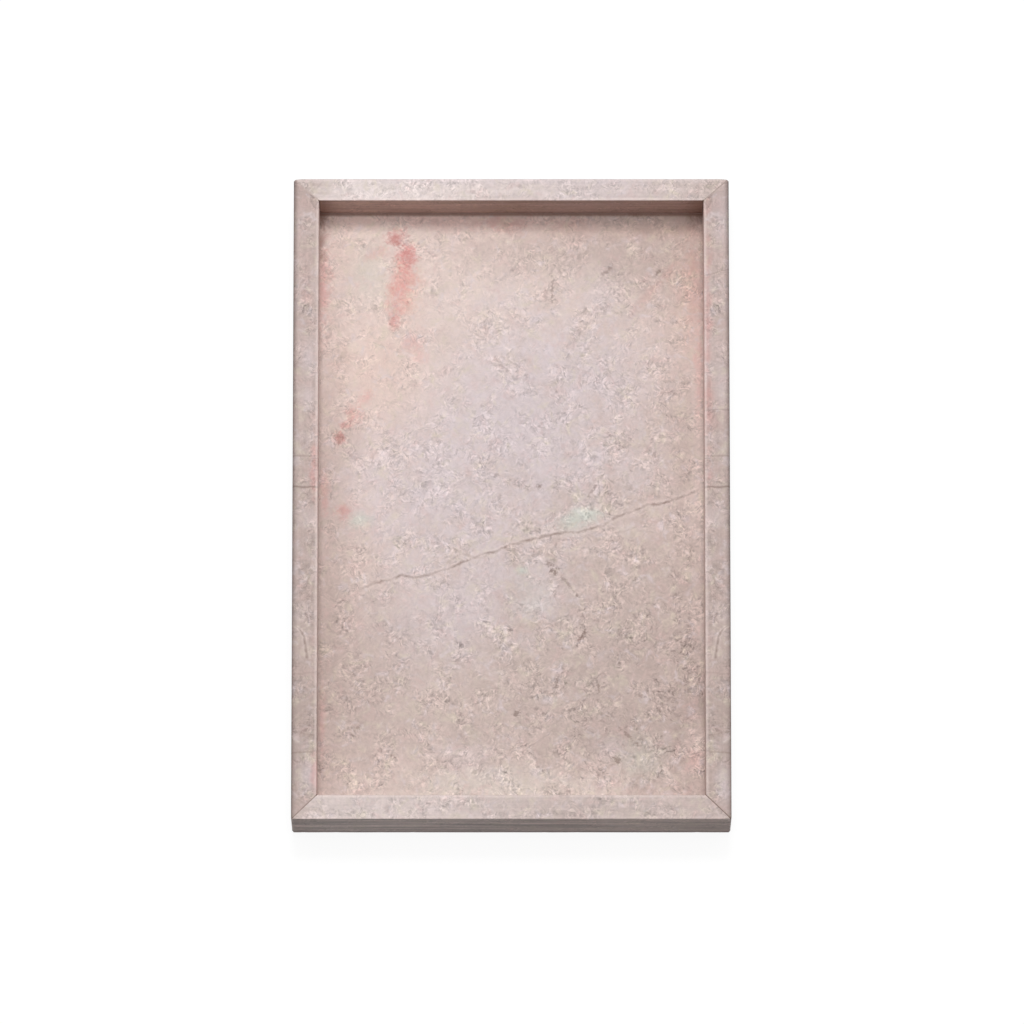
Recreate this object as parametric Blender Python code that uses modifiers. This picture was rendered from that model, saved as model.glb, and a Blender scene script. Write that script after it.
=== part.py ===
"""Marble tray: a stone slab held in four mitred and rebated marble rails, on four soft feet.

The rails cover the slab's sawn edge. Each has a shoulder bedded on the slab's rim and a skirt outside it,
and two rails meet at each corner in a resin-filled mitre that runs from the outer to the inner corner.
Metres, +Z up. The origin is on the table under the middle of the tray, and +Y points to the back rail.
"""
import math

import bmesh
import bpy

# Whole tray
TRAY_WIDTH = 0.200
TRAY_LENGTH = 0.300
RAIL_HEIGHT = 0.032

# Widths of the rails' top faces: the back one is ground narrower than the others
SIDE_RAIL_WIDTH = 0.0116
FRONT_RAIL_WIDTH = 0.0112
BACK_RAIL_WIDTH = 0.0102

# Base slab, and how far its rim reaches under the rails
SLAB_THICKNESS = 0.0080
RIM_TUCK = 0.0040
SLAB_ARRIS = 0.0005

# Eased edges of the rails
SIDE_EASING = 0.0017
END_EASING = 0.0006
CORNER_EASING = 0.0011
LOWER_ARRIS = 0.0009
INNER_ARRIS = 0.0005

# Resin joints, and the gap kept between touching pieces
MITRE_RESIN = 0.0004
BED_RESIN = 0.0005
GAP = 0.0003

# Self-adhesive feet, stuck to the underside of the slab
FOOT_HEIGHT = 0.0020
FOOT_RADIUS = 0.0065
FOOT_TAPER = 0.0006
FOOT_EDGE_RADIUS = 0.0005
FOOT_INSET = 0.0160

# How far cutters run past what they cut
OVERRUN = 0.0050

# Smoothness of the rounded edges and of the turned feet
EASING_SEGMENTS = 5
FOOT_EDGE_SEGMENTS = 4
FOOT_STEPS = 48

# Colours are linear red, green and blue
SLAB_COLOUR = (0.64, 0.53, 0.49)
SIDE_RAIL_COLOUR = (0.57, 0.45, 0.42)
END_RAIL_COLOUR = (0.67, 0.56, 0.53)
RESIN_COLOUR = (0.30, 0.24, 0.21)
FOOT_COLOUR = (0.72, 0.71, 0.68)
MARBLE_ROUGHNESS = 0.35
RESIN_ROUGHNESS = 0.45
FOOT_ROUGHNESS = 0.60

# Heights and half sizes that follow from the sizes above
STONE_BOTTOM = FOOT_HEIGHT
STONE_TOP = STONE_BOTTOM + RAIL_HEIGHT
SLAB_TOP = STONE_BOTTOM + SLAB_THICKNESS
BED_THICKNESS = GAP + BED_RESIN + GAP
SHOULDER = SLAB_TOP + BED_THICKNESS
MITRE_JOINT = GAP + MITRE_RESIN + GAP
HALF_WIDTH = TRAY_WIDTH / 2
HALF_LENGTH = TRAY_LENGTH / 2
END_RAIL_WIDTHS = {"front": FRONT_RAIL_WIDTH, "back": BACK_RAIL_WIDTH}
END_SIGNS = {"front": -1, "back": 1}
SIDE_SIGNS = {"left": -1, "right": 1}

# The opening between the rails as (low, high) along X and along Y
OPENING_X = (-HALF_WIDTH + SIDE_RAIL_WIDTH, HALF_WIDTH - SIDE_RAIL_WIDTH)
OPENING_Y = (-HALF_LENGTH + FRONT_RAIL_WIDTH, HALF_LENGTH - BACK_RAIL_WIDTH)


def clear_scene():
    for obj in list(bpy.data.objects):
        bpy.data.objects.remove(obj, do_unlink=True)


def new_collection(name):
    collection = bpy.data.collections.new(name)
    bpy.context.scene.collection.children.link(collection)
    return collection


def grown(span, margin):
    """A (low, high) span made longer at both ends by the margin."""
    return span[0] - margin, span[1] + margin


def add_object(name, bm, collection):
    mesh = bpy.data.meshes.new(name)
    bm.to_mesh(mesh)
    bm.free()
    obj = bpy.data.objects.new(name, mesh)
    collection.objects.link(obj)
    return obj


def box(name, span_x, span_y, span_z, collection):
    """A box between three (low, high) spans, with its object at its centre."""
    spans = (span_x, span_y, span_z)
    bm = bmesh.new()
    bmesh.ops.create_cube(bm, size=1)
    bmesh.ops.scale(bm, vec=[high - low for low, high in spans], verts=bm.verts)
    obj = add_object(name, bm, collection)
    obj.location = [(low + high) / 2 for low, high in spans]
    return obj


def cutter_box(name, span_x, span_y, span_z):
    return as_cutter(box(name, span_x, span_y, span_z, cutters))


def as_cutter(obj):
    obj.display_type = "WIRE"
    obj.hide_render = True
    return obj


def cut(obj, cutter, operation="DIFFERENCE"):
    modifier = obj.modifiers.new(cutter.name, "BOOLEAN")
    modifier.solver = "EXACT"
    modifier.operation = operation
    modifier.object = cutter


def paint(obj, colour, roughness):
    material = bpy.data.materials.new(obj.name + "_surface")
    material.use_nodes = True
    shader = material.node_tree.nodes["Principled BSDF"]
    shader.inputs["Base Color"].default_value = (*colour, 1)
    shader.inputs["Roughness"].default_value = roughness
    shader.inputs["Metallic"].default_value = 0
    obj.data.materials.append(material)


def edge_easing(edge):
    """The radius that an edge of the tray's block is rounded to."""
    start, end = (vert.co for vert in edge.verts)
    run = end - start
    if abs(run.z) > max(abs(run.x), abs(run.y)):
        return CORNER_EASING
    if start.z < 0:
        return LOWER_ARRIS
    if abs(run.y) > abs(run.x):
        return SIDE_EASING
    return END_EASING


def tray_block(name):
    """The tray's whole outer form as one block with eased edges, for one rail or filler to be cut from.

    Every piece is cut from the same form, so the eased edges run on across the mitres.
    """
    stone_x = (-HALF_WIDTH, HALF_WIDTH)
    stone_y = (-HALF_LENGTH, HALF_LENGTH)
    block = box(name, stone_x, stone_y, (STONE_BOTTOM, STONE_TOP), tray)
    widest = max(SIDE_EASING, END_EASING, CORNER_EASING, LOWER_ARRIS)
    bm = bmesh.new()
    bm.from_mesh(block.data)
    weights = bm.edges.layers.float.new("bevel_weight_edge")
    for edge in bm.edges:
        edge[weights] = edge_easing(edge) / widest
    bm.to_mesh(block.data)
    bm.free()
    easing = block.modifiers.new("eased_edges", "BEVEL")
    easing.limit_method = "WEIGHT"
    easing.width = widest
    easing.segments = EASING_SEGMENTS
    return block


def mitre_wedge(name, rail, half_joint):
    """A prism whose slanting ends lie on a rail's two mitres, each drawn back by half the joint.

    A mitre runs from the outer corner of the tray to the inner corner of its opening, so its slope
    is the ratio of the two rail widths that meet there.
    """
    bm = bmesh.new()
    bmesh.ops.create_cube(bm, size=1)
    for vert in bm.verts:
        outwards = vert.co.x > 0
        if rail in SIDE_SIGNS:
            end = "back" if vert.co.y > 0 else "front"
            depth = SIDE_RAIL_WIDTH
            slope = END_RAIL_WIDTHS[end] / depth
            half_along = HALF_LENGTH
        else:
            depth = END_RAIL_WIDTHS[rail]
            slope = SIDE_RAIL_WIDTH / depth
            half_along = HALF_WIDTH
        inset = -OVERRUN if outwards else depth + OVERRUN
        drawn_back = half_joint * math.hypot(1, slope)
        along = math.copysign(half_along - inset * slope - drawn_back, vert.co.y)
        if rail in SIDE_SIGNS:
            vert.co.x = SIDE_SIGNS[rail] * (HALF_WIDTH - inset)
            vert.co.y = along
        else:
            vert.co.x = along
            vert.co.y = END_SIGNS[rail] * (HALF_LENGTH - inset)
        vert.co.z = STONE_TOP + OVERRUN if vert.co.z > 0 else STONE_BOTTOM - OVERRUN
    bmesh.ops.recalc_face_normals(bm, faces=bm.faces)
    return as_cutter(add_object(name, bm, cutters))


def mitre_plate(name, end, side):
    """A thin upright plate along one mitre, as thick as its resin."""
    end_width = END_RAIL_WIDTHS[end]
    reach = math.hypot(SIDE_RAIL_WIDTH, end_width) / 2 + OVERRUN
    half_resin = MITRE_RESIN / 2
    height = (STONE_BOTTOM - OVERRUN, STONE_TOP + OVERRUN)
    plate = cutter_box(name, (-reach, reach), (-half_resin, half_resin), height)
    plate.location.x = SIDE_SIGNS[side] * (HALF_WIDTH - SIDE_RAIL_WIDTH / 2)
    plate.location.y = END_SIGNS[end] * (HALF_LENGTH - end_width / 2)
    plate.rotation_euler.z = math.atan2(END_SIGNS[end] * end_width, SIDE_SIGNS[side] * SIDE_RAIL_WIDTH)
    return plate


def recess_arris():
    """A frustum that takes the small 45-degree arris off the rails' inner top edges."""
    bm = bmesh.new()
    bmesh.ops.create_cube(bm, size=1)
    for vert in bm.verts:
        rise = OVERRUN if vert.co.z > 0 else -OVERRUN
        margin = INNER_ARRIS + rise
        vert.co.x = grown(OPENING_X, margin)[vert.co.x > 0]
        vert.co.y = grown(OPENING_Y, margin)[vert.co.y > 0]
        vert.co.z = STONE_TOP + rise
    return as_cutter(add_object("recess_arris_cutter", bm, cutters))


def add_slab():
    """The polished floor slab, whose rim reaches under all four rails."""
    height = (STONE_BOTTOM, SLAB_TOP)
    slab = box("base_slab", grown(OPENING_X, RIM_TUCK), grown(OPENING_Y, RIM_TUCK), height, tray)
    arris = slab.modifiers.new("arris", "BEVEL")
    arris.width = SLAB_ARRIS
    arris.segments = 1
    paint(slab, SLAB_COLOUR, MARBLE_ROUGHNESS)


def add_rails(recess, arris, pocket):
    """Four marble rails, with a mitre at each end, and a rebate for the slab's rim along the foot."""
    for rail in (*SIDE_SIGNS, *END_SIGNS):
        stone = tray_block("rail_" + rail)
        cut(stone, mitre_wedge("mitre_cutter_" + rail, rail, MITRE_JOINT / 2), "INTERSECT")
        cut(stone, recess)
        cut(stone, arris)
        cut(stone, pocket)
        paint(stone, SIDE_RAIL_COLOUR if rail in SIDE_SIGNS else END_RAIL_COLOUR, MARBLE_ROUGHNESS)


def add_mitre_resin(recess, arris, pocket):
    """The resin that fills each mitre, flush with the rails' faces and open to the slab's pocket."""
    for end in END_SIGNS:
        for side in SIDE_SIGNS:
            corner = end + "_" + side
            resin = tray_block("mitre_resin_" + corner)
            cut(resin, mitre_plate("mitre_plate_" + corner, end, side), "INTERSECT")
            cut(resin, recess)
            cut(resin, arris)
            cut(resin, pocket)
            paint(resin, RESIN_COLOUR, RESIN_ROUGHNESS)


def add_bed_resin(recess):
    """The L-shaped bed under each rail's shoulder and inside its skirt, round the slab's rim."""
    slab_room = cutter_box(
        "slab_room_cutter",
        grown(OPENING_X, RIM_TUCK + GAP),
        grown(OPENING_Y, RIM_TUCK + GAP),
        (STONE_BOTTOM - OVERRUN, SLAB_TOP + GAP),
    )
    bed_reach = RIM_TUCK + GAP + BED_RESIN
    bed_height = (STONE_BOTTOM, SHOULDER - GAP)
    for rail in (*SIDE_SIGNS, *END_SIGNS):
        bed_x = grown(OPENING_X, bed_reach)
        bed_y = grown(OPENING_Y, bed_reach)
        bed = box("bed_resin_" + rail, bed_x, bed_y, bed_height, tray)
        cut(bed, slab_room)
        cut(bed, recess)
        cut(bed, mitre_wedge("bed_cutter_" + rail, rail, GAP / 2), "INTERSECT")
        paint(bed, RESIN_COLOUR, RESIN_ROUGHNESS)


def foot_profile():
    """Half the section of a foot, from the middle of its top face round to the middle of its underside."""
    top = FOOT_HEIGHT - GAP
    face_radius = FOOT_RADIUS - FOOT_TAPER
    points = [(0, top), (FOOT_RADIUS, top)]
    for step in range(FOOT_EDGE_SEGMENTS + 1):
        turn = math.pi / 2 * step / FOOT_EDGE_SEGMENTS
        radius = face_radius - FOOT_EDGE_RADIUS * (1 - math.cos(turn))
        height = FOOT_EDGE_RADIUS * (1 - math.sin(turn))
        points.append((radius, height))
    points.append((0, 0))
    return points


def add_feet():
    """Four turned silicone feet near the corners of the slab."""
    near_edge = FOOT_INSET - RIM_TUCK
    feet_x = grown(OPENING_X, -near_edge)
    feet_y = grown(OPENING_Y, -near_edge)
    for end, y in zip(END_SIGNS, feet_y):
        for side, x in zip(SIDE_SIGNS, feet_x):
            bm = bmesh.new()
            verts = [bm.verts.new((radius, 0, height)) for radius, height in foot_profile()]
            for start, stop in zip(verts, verts[1:]):
                bm.edges.new((start, stop))
            foot = add_object("foot_" + end + "_" + side, bm, tray)
            foot.location = (x, y, 0)
            turned = foot.modifiers.new("turned", "SCREW")
            turned.steps = FOOT_STEPS
            turned.render_steps = FOOT_STEPS
            turned.use_merge_vertices = True
            turned.merge_threshold = GAP / FOOT_STEPS
            turned.use_smooth_shade = True
            paint(foot, FOOT_COLOUR, FOOT_ROUGHNESS)


def main():
    through = (STONE_BOTTOM - OVERRUN, STONE_TOP + OVERRUN)
    recess = cutter_box("recess_cutter", OPENING_X, OPENING_Y, through)
    arris = recess_arris()
    pocket = cutter_box(
        "slab_pocket_cutter",
        grown(OPENING_X, RIM_TUCK + BED_THICKNESS),
        grown(OPENING_Y, RIM_TUCK + BED_THICKNESS),
        (STONE_BOTTOM - OVERRUN, SHOULDER),
    )
    add_slab()
    add_rails(recess, arris, pocket)
    add_mitre_resin(recess, arris, pocket)
    add_bed_resin(recess)
    add_feet()


clear_scene()
tray = new_collection("marble_tray")
cutters = new_collection("cutters")
main()
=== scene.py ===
"""The finish of a marble tray: pale pinkish stone, resin joints, soft feet, and a plain studio round it.

Laid out as an add-on whose operators each make one piece or group. Lengths are in metres, except in the
stone's patterns, which are laid out in millimetres. +Z is up and +Y points to the tray's back rail.
"""

import math

import bmesh
import bpy
import numpy as np
from bpy.props import FloatProperty, FloatVectorProperty, PointerProperty
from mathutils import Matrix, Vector


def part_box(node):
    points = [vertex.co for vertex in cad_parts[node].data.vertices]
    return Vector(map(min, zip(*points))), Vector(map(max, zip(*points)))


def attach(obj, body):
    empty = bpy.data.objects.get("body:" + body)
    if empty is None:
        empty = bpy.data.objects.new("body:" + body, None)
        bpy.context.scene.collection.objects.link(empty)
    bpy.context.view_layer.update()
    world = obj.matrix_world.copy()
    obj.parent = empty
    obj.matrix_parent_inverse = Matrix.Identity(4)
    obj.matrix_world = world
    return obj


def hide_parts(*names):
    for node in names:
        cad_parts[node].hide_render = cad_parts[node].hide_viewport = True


bl_info = {
    "name": "Marble Tray Finish",
    "version": (1, 0, 0),
    "blender": (4, 5, 0),
    "location": "View3D > Sidebar > Tray",
    "description": "Makes the stone, joints, feet and stage of a marble tray",
    "category": "Object",
}

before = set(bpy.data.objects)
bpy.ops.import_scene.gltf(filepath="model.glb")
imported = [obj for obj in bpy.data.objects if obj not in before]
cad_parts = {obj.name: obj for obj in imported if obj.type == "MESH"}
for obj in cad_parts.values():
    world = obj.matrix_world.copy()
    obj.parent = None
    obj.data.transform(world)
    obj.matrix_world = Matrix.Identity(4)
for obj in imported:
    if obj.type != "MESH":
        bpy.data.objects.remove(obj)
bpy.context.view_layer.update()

MILLIMETRE = 0.001
SIDES = {"left": -1, "right": 1}
ENDS = {"front": -1, "back": 1}
CORNERS = [(end, side) for end in ENDS for side in SIDES]

# The frame's places: the rails' outer faces, the opening between them, the slab and the heights
HALF_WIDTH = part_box("rail_right")[1].x
HALF_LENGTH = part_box("rail_back")[1].y
OPENING_HALF_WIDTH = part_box("rail_right")[0].x
OPENING_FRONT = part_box("rail_front")[1].y
OPENING_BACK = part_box("rail_back")[0].y
SLAB_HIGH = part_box("base_slab")[1]
STONE_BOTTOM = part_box("rail_left")[0].z
STONE_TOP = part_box("rail_left")[1].z
SIDE_RAIL_WIDTH = HALF_WIDTH - OPENING_HALF_WIDTH
RAIL_WIDTHS = {"left": SIDE_RAIL_WIDTH, "right": SIDE_RAIL_WIDTH,
               "front": HALF_LENGTH + OPENING_FRONT, "back": HALF_LENGTH - OPENING_BACK}


def shade(red, green, blue):
    """A colour given as screen levels from 0 to 255, as the linear values that Blender works in."""
    levels = np.array([red, green, blue]) / 255
    linear = np.where(levels <= 0.04045, levels / 12.92, ((levels + 0.055) / 1.055) ** 2.4)
    return tuple(float(value) for value in linear)


def measure(name, description, millimetres):
    return FloatProperty(name=name, description=description, default=millimetres * MILLIMETRE,
                         min=0, unit="LENGTH", precision=5)


def swatch(name, description, red, green, blue):
    return FloatVectorProperty(name=name, description=description, default=shade(red, green, blue),
                               size=3, min=0, max=1, subtype="COLOR")


class TraySizes(bpy.types.PropertyGroup):
    """Small sizes of the stonework that the frame leaves open."""
    side_easing_front: measure("Side easing, front", "A side rail's outer edge radius in front", 1.2)
    side_easing_back: measure("Side easing, back", "A side rail's outer edge radius behind", 2.0)
    end_easing: measure("End easing", "Radius of the front and back rails' outer top edges", 0.5)
    easing_run: measure("Easing run", "Stretch in which an end's easing grows to the side's", 5.0)
    inner_arris: measure("Inner arris", "Radius of the rails' inner top edges", 0.45)
    lower_arris: measure("Lower arris", "Radius of the rails' lower outer edges", 0.9)
    sawn_edge: measure("Sawn edge", "Radius of the edges inside the rebate", 0.15)
    corner_radius: measure("Corner radius", "Radius of the tray's upright corners", 1.1)
    mitre_joint: measure("Mitre joint", "Thickness of the resin in a mitre", 0.5)
    bed_joint: measure("Bed joint", "Thickness of the resin under a rail's shoulder", 0.4)
    joint_recess: measure("Joint recess", "How far the resin lies below the stone", 0.08)
    seat_gap: measure("Seat gap", "Gap between resin and stone", 0.01)


class TrayColours(bpy.types.PropertyGroup):
    """Colours of the stone, the resin and the feet, and tints that paint shade and highlights onto the stone.
    """
    cream: swatch("Cream", "Warm pale ground of the stone", 223, 204, 197)
    lilac: swatch("Lilac", "Cool pale clouds in the stone", 215, 202, 205)
    taupe: swatch("Taupe", "Brownish darker stone", 183, 164, 157)
    rose: swatch("Rose", "Pinkish crystals", 212, 180, 176)
    straw: swatch("Straw", "Yellowish crystals", 212, 200, 182)
    pink: swatch("Pink", "Pink streaks", 216, 138, 134)
    wine: swatch("Wine", "Darker spots in the pink streaks", 186, 128, 122)
    peach: swatch("Peach", "Peach tint beside the pink", 228, 192, 172)
    green: swatch("Green", "Pale green clouds", 198, 208, 196)
    vein: swatch("Vein", "Hairline veins", 140, 120, 112)
    speck: swatch("Speck", "Small dark mineral specks", 128, 108, 100)
    # Painted shade: a brown laid into the recess corners, along the foot of the walls and in the strip off
    # the back wall
    painted_shade: swatch("Shade", "Dirt in the corners and along the foot of the walls", 121, 86, 72)
    side_rail: swatch("Side rail", "Ground colour of the side rails", 192, 172, 166)
    back_rail: swatch("Back rail", "Ground colour of the back rail", 229, 216, 213)
    front_rail: swatch("Front rail", "Ground colour of the front rail", 213, 198, 194)
    # Pale borders of the veins, and painted highlight along the rails' inner and outer top edges
    pale_and_highlight: swatch("Arris", "Stone bruised lighter along the inner edges", 240, 222, 216)
    # Painted shade: multiplied onto the rails' inner walls and onto the floor in the back wall's shadow band
    shade_tint: swatch("Shading", "Tint that the inner faces take on", 208, 187, 178)
    # Painted shade: multiplied over the outer walls, and more strongly towards their foot
    wall_shade: swatch("Shadow", "Tint of the foot of the outer walls", 177, 166, 164)
    # Painted shade on the side rails' rounded outer top edges
    rim_shade: swatch("Fringe", "Tint of the side rails' outer top edges", 180, 179, 181)
    resin: swatch("Resin", "Resin in the joints", 122, 99, 90)
    silicone: swatch("Silicone", "Milky soft feet", 214, 212, 206)


class StageSettings(bpy.types.PropertyGroup):
    """The camera, the lamps and the pale ground."""
    distance: FloatProperty(name="Camera distance", description="From the camera to the tray", default=5.0,
                            unit="LENGTH")
    elevation: FloatProperty(name="Camera elevation", description="Angle above the horizon",
                             default=math.radians(77.15), subtype="ANGLE")
    lens: FloatProperty(name="Lens", description="Focal length in millimetres on the 36 mm sensor",
                        default=382.4)
    key_power: FloatProperty(name="Key power", description="Watts of the lamp above and behind", default=48.5)
    key_size: FloatProperty(name="Key size", description="Side of the square key lamp", default=0.70,
                            unit="LENGTH")
    key_lean: FloatProperty(name="Key lean", description="Angle of the key lamp from upright, to the back",
                            default=math.radians(19.5), subtype="ANGLE")
    box_power: FloatProperty(name="Box power", description="Watts of the soft box overhead", default=9.2)
    sky: FloatProperty(name="Sky", description="Strength of the even light from all round", default=0.19)


# Node graphs

class Field:
    """A node socket that works in Python sums: each operator adds the Math node for it."""

    def __init__(self, recipe, socket):
        self.recipe = recipe
        self.socket = socket

    def math(self, operation, *values):
        return self.recipe.math(operation, self, *values)

    def __add__(self, other):
        return self.math("ADD", other)

    def __sub__(self, other):
        return self.math("SUBTRACT", other)

    def __mul__(self, other):
        return self.math("MULTIPLY", other)

    def __truediv__(self, other):
        return self.math("DIVIDE", other)

    def __rsub__(self, other):
        return self.recipe.math("SUBTRACT", other, self)

    __radd__ = __add__
    __rmul__ = __mul__

    def __abs__(self):
        return self.math("ABSOLUTE")

    def clamped(self):
        return self.recipe.add("Clamp", {}, {"Value": self})

    def ramp(self, start, stop):
        """A smooth step from 0 at start to 1 at stop, and level beyond both. The start may be the higher."""
        inputs = {"Value": self, "From Min": start, "From Max": stop}
        return self.recipe.add("MapRange", {"interpolation_type": "SMOOTHSTEP"}, inputs)


class Recipe:
    """The node graph of a material or of the world, which it empties first."""

    def __init__(self, owner):
        owner.use_nodes = True
        self.owner = owner
        self.tree = owner.node_tree
        self.tree.nodes.clear()

    def node(self, kind, settings, inputs):
        """Adds a node, sets its settings, then sets or links its sockets.

        The kind is the node's type without the word ShaderNode that it begins with.
        """
        node = self.tree.nodes.new("ShaderNode" + kind)
        for key, value in settings.items():
            if key == "curve":
                self.set_curve(node, value)
            else:
                setattr(node, key, value)
        for key, value in inputs.items():
            socket = node.inputs[key]
            if isinstance(value, Field):
                self.tree.links.new(value.socket, socket)
            elif socket.type == "RGBA":
                socket.default_value = (*value, 1)
            else:
                socket.default_value = value
        return node

    @staticmethod
    def set_curve(node, points):
        curve = node.mapping.curves[0]
        while len(curve.points) < len(points):
            curve.points.new(0, 0)
        for point, place in zip(curve.points, points):
            point.location = place
            point.handle_type = "VECTOR"
        node.mapping.update()

    def add(self, kind, settings, inputs, output=0):
        return Field(self, self.node(kind, settings, inputs).outputs[output])

    def place(self):
        """The point's place on the tray in millimetres."""
        return self.scaled(self.add("TexCoord", {}, {}, "Object"), 1 / MILLIMETRE)

    def math(self, operation, *values):
        return self.add("Math", {"operation": operation}, dict(enumerate(values)))

    def vector(self, operation, *values, output=0):
        return self.add("VectorMath", {"operation": operation}, dict(enumerate(values)), output)

    def scaled(self, vector, factor):
        """A place times a factor, or a colour made darker or lighter by it."""
        return self.add("VectorMath", {"operation": "SCALE"}, {0: vector, "Scale": factor})

    def moved(self, place, shift):
        return self.vector("ADD", place, (shift, shift, shift))

    def split(self, vector):
        node = self.node("SeparateXYZ", {}, {0: vector})
        return [Field(self, output) for output in node.outputs]

    def join(self, x, y, z):
        return self.add("CombineXYZ", {}, {0: x, 1: y, 2: z})

    def noise(self, place, size, detail=3.0, roughness=0.6, distortion=0.0, shift=0.0):
        """Cloudy noise about zero, mostly within -1 to 1, whose features are about the size given."""
        inputs = {"Vector": self.moved(place, shift), "Scale": 1 / size, "Detail": detail,
                  "Roughness": roughness, "Distortion": distortion}
        return (self.add("TexNoise", {}, inputs) - 0.5) * 4

    def mix(self, factor, first, second, blend="MIX"):
        settings = {"data_type": "RGBA", "blend_type": blend, "clamp_factor": True}
        return self.add("Mix", settings, {0: factor, 6: first, 7: second}, 2)

    def bump(self, height, strength, distance):
        """The normal over a relief whose full height, in metres, is the distance."""
        inputs = {"Strength": strength, "Distance": distance, "Height": height}
        return self.add("Bump", {}, inputs, "Normal")

    def principled(self, inputs):
        return self.add("BsdfPrincipled", {}, inputs, "BSDF")

    def looked_at(self):
        """1 for what the camera sees, also mirrored or through glass, and 0 for the light's own paths."""
        path = self.node("LightPath", {}, {})
        rays = ("Camera", "Glossy", "Transmission")
        seen, mirrored, through = (Field(self, path.outputs["Is " + ray + " Ray"]) for ray in rays)
        return (seen + mirrored + through).clamped()

    def finish(self, shader, output="OutputMaterial"):
        self.node(output, {}, {"Surface": shader})
        return self.owner


def new_recipe(name):
    return Recipe(bpy.data.materials.new(name))


# A stain's edge, in half sizes: how far noise moves it, and where the stain has faded out
RAGGED_BY = 0.6
FADED_AT = 1.3


def blot(x, y, rough, middle_x, middle_y, half_length, half_width, strength, turn=0):
    """An elliptic stain: its strength at its middle, 0 outside, with an edge made ragged by noise.

    The distance from the middle is measured in half sizes, so it is 1 on the ellipse.
    """
    cosine = math.cos(math.radians(turn))
    sine = math.sin(math.radians(turn))
    off_x = x - middle_x
    off_y = y - middle_y
    along = off_x * (cosine / half_length) + off_y * (sine / half_length)
    across = off_y * (cosine / half_width) - off_x * (sine / half_width)
    distance = (along * along + across * across).math("SQRT")
    return (distance + rough * RAGGED_BY).ramp(FADED_AT, 0.0) * strength


def stain(recipe, colour, x, y, rough, table, tint):
    """Lays a table of stains of one tint over a colour. What each leaves uncovered is multiplied together."""
    uncovered = 1.0
    for row in table:
        uncovered = (1 - blot(x, y, rough, *row)) * uncovered
    return recipe.mix(uncovered, tint, colour)


def hairline(across, width, rough):
    """A thin vein where the coordinate across it is zero, thinner and thicker by noise."""
    thickness = (rough * 0.35 + 1.0) * width
    return (1 - abs(across) / thickness).clamped().math("POWER", 0.8)


def threads(recipe, place, size, width, shift):
    """Crinkled lines, where a noise passes through zero."""
    value = recipe.noise(place, size, detail=1.0, roughness=0.5, distortion=0.7, shift=shift)
    return (1 - abs(value) / width).clamped()


def hatching(recipe, place, crystal, width, length, shift):
    """Short strokes that lie side by side in each crystal: noise drawn out along the crystal's direction.

    The place is bent by a slow noise and cut into cells. A cell's colour gives a first direction, and the
    second is at a right angle to it. The noise is read at the place along the first over the width and
    along the second over the length, and far apart from one cell to the next.
    """
    bend = crystal * 1.4
    off_axis = (0.3, 0.2, 0.93)
    apart = 40
    moved = recipe.moved(place, shift)
    inputs = {"Vector": moved, "Scale": 1 / crystal, "Detail": 2.0}
    stir = recipe.add("TexNoise", {}, inputs, "Color")
    bent = recipe.vector("ADD", moved, recipe.scaled(stir, bend))
    cells = recipe.add("TexVoronoi", {}, {"Vector": bent, "Scale": 1 / crystal}, "Color")
    first = recipe.vector("NORMALIZE", recipe.vector("SUBTRACT", cells, (0.5, 0.5, 0.5)))
    second = recipe.vector("CROSS_PRODUCT", first, off_axis)
    across = recipe.vector("DOT_PRODUCT", bent, first, output="Value")
    along = recipe.vector("DOT_PRODUCT", bent, second, output="Value")
    drawn_out = recipe.join(across / width, along / length, recipe.split(cells)[0] * apart)
    return recipe.noise(drawn_out, 1.0, detail=1.0, roughness=0.5)


def crystal_grain(recipe, colour, place, colours, amount=1.0, shift=0.0):
    """The crystals: hatched strokes and crinkled threads in coarse patches, over a fine grain.

    Small clouds shift the hue to rose, straw or lilac.
    """
    patches = recipe.noise(place, 9.0, shift=shift + 31)
    coarse = patches.ramp(-0.45, 0.65)
    mottle = recipe.noise(place, 6.0, detail=2.0, distortion=0.8, shift=shift + 93)
    bluish = recipe.noise(place, 5.0, detail=2.0, distortion=0.8, shift=shift + 61)
    fine = recipe.noise(place, 1.3, detail=1.0, shift=shift + 83)
    light = threads(recipe, place, 3.2, 0.30, shift + 57)
    dark = threads(recipe, place, 2.9, 0.30, shift + 71)
    strokes = hatching(recipe, place, crystal=4.4, width=0.85, length=3.2, shift=shift + 37)
    clouds = recipe.noise(place, 16.0, shift=shift + 17)
    colour = recipe.mix(mottle.ramp(0.0, 1.2) * 0.35, colour, colours.rose)
    colour = recipe.mix((0 - mottle).ramp(0.0, 1.2) * 0.55, colour, colours.straw)
    colour = recipe.mix(bluish.ramp(0.1, 1.2) * 0.55, colour, colours.lilac)
    drawn = (light * 0.12 - dark * 0.18) * coarse + strokes * (coarse * 0.245 + 0.065)
    grain = fine * (coarse * 0.07 + 0.05) + clouds * 0.035
    return recipe.scaled(colour, 1.0 + (drawn + grain) * amount), fine


def mineral_specks(recipe, place, shift=0.0):
    """Sparse dark specks that gather where a slow noise is high."""
    cluster = recipe.noise(place, 28.0, detail=2.0, roughness=0.5, shift=shift + 11).ramp(-0.3, 1.1)
    peppery = recipe.noise(place, 2.0, detail=2.0, roughness=0.7, distortion=1.5, shift=shift + 5)
    return peppery.ramp(0.7, 1.6) * cluster


def stone_shader(recipe, colour, pits, gloss_noise):
    """Honed stone: an even soft gloss that the pits and the grain break up a little."""
    relief = recipe.bump(1 - pits, 0.25, 0.15 * MILLIMETRE)
    roughness = 0.58 + gloss_noise * 0.04 + pits * 0.2
    return recipe.principled({"Base Color": colour, "Roughness": roughness, "Normal": relief,
                              "Specular IOR Level": 0.18})


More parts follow.
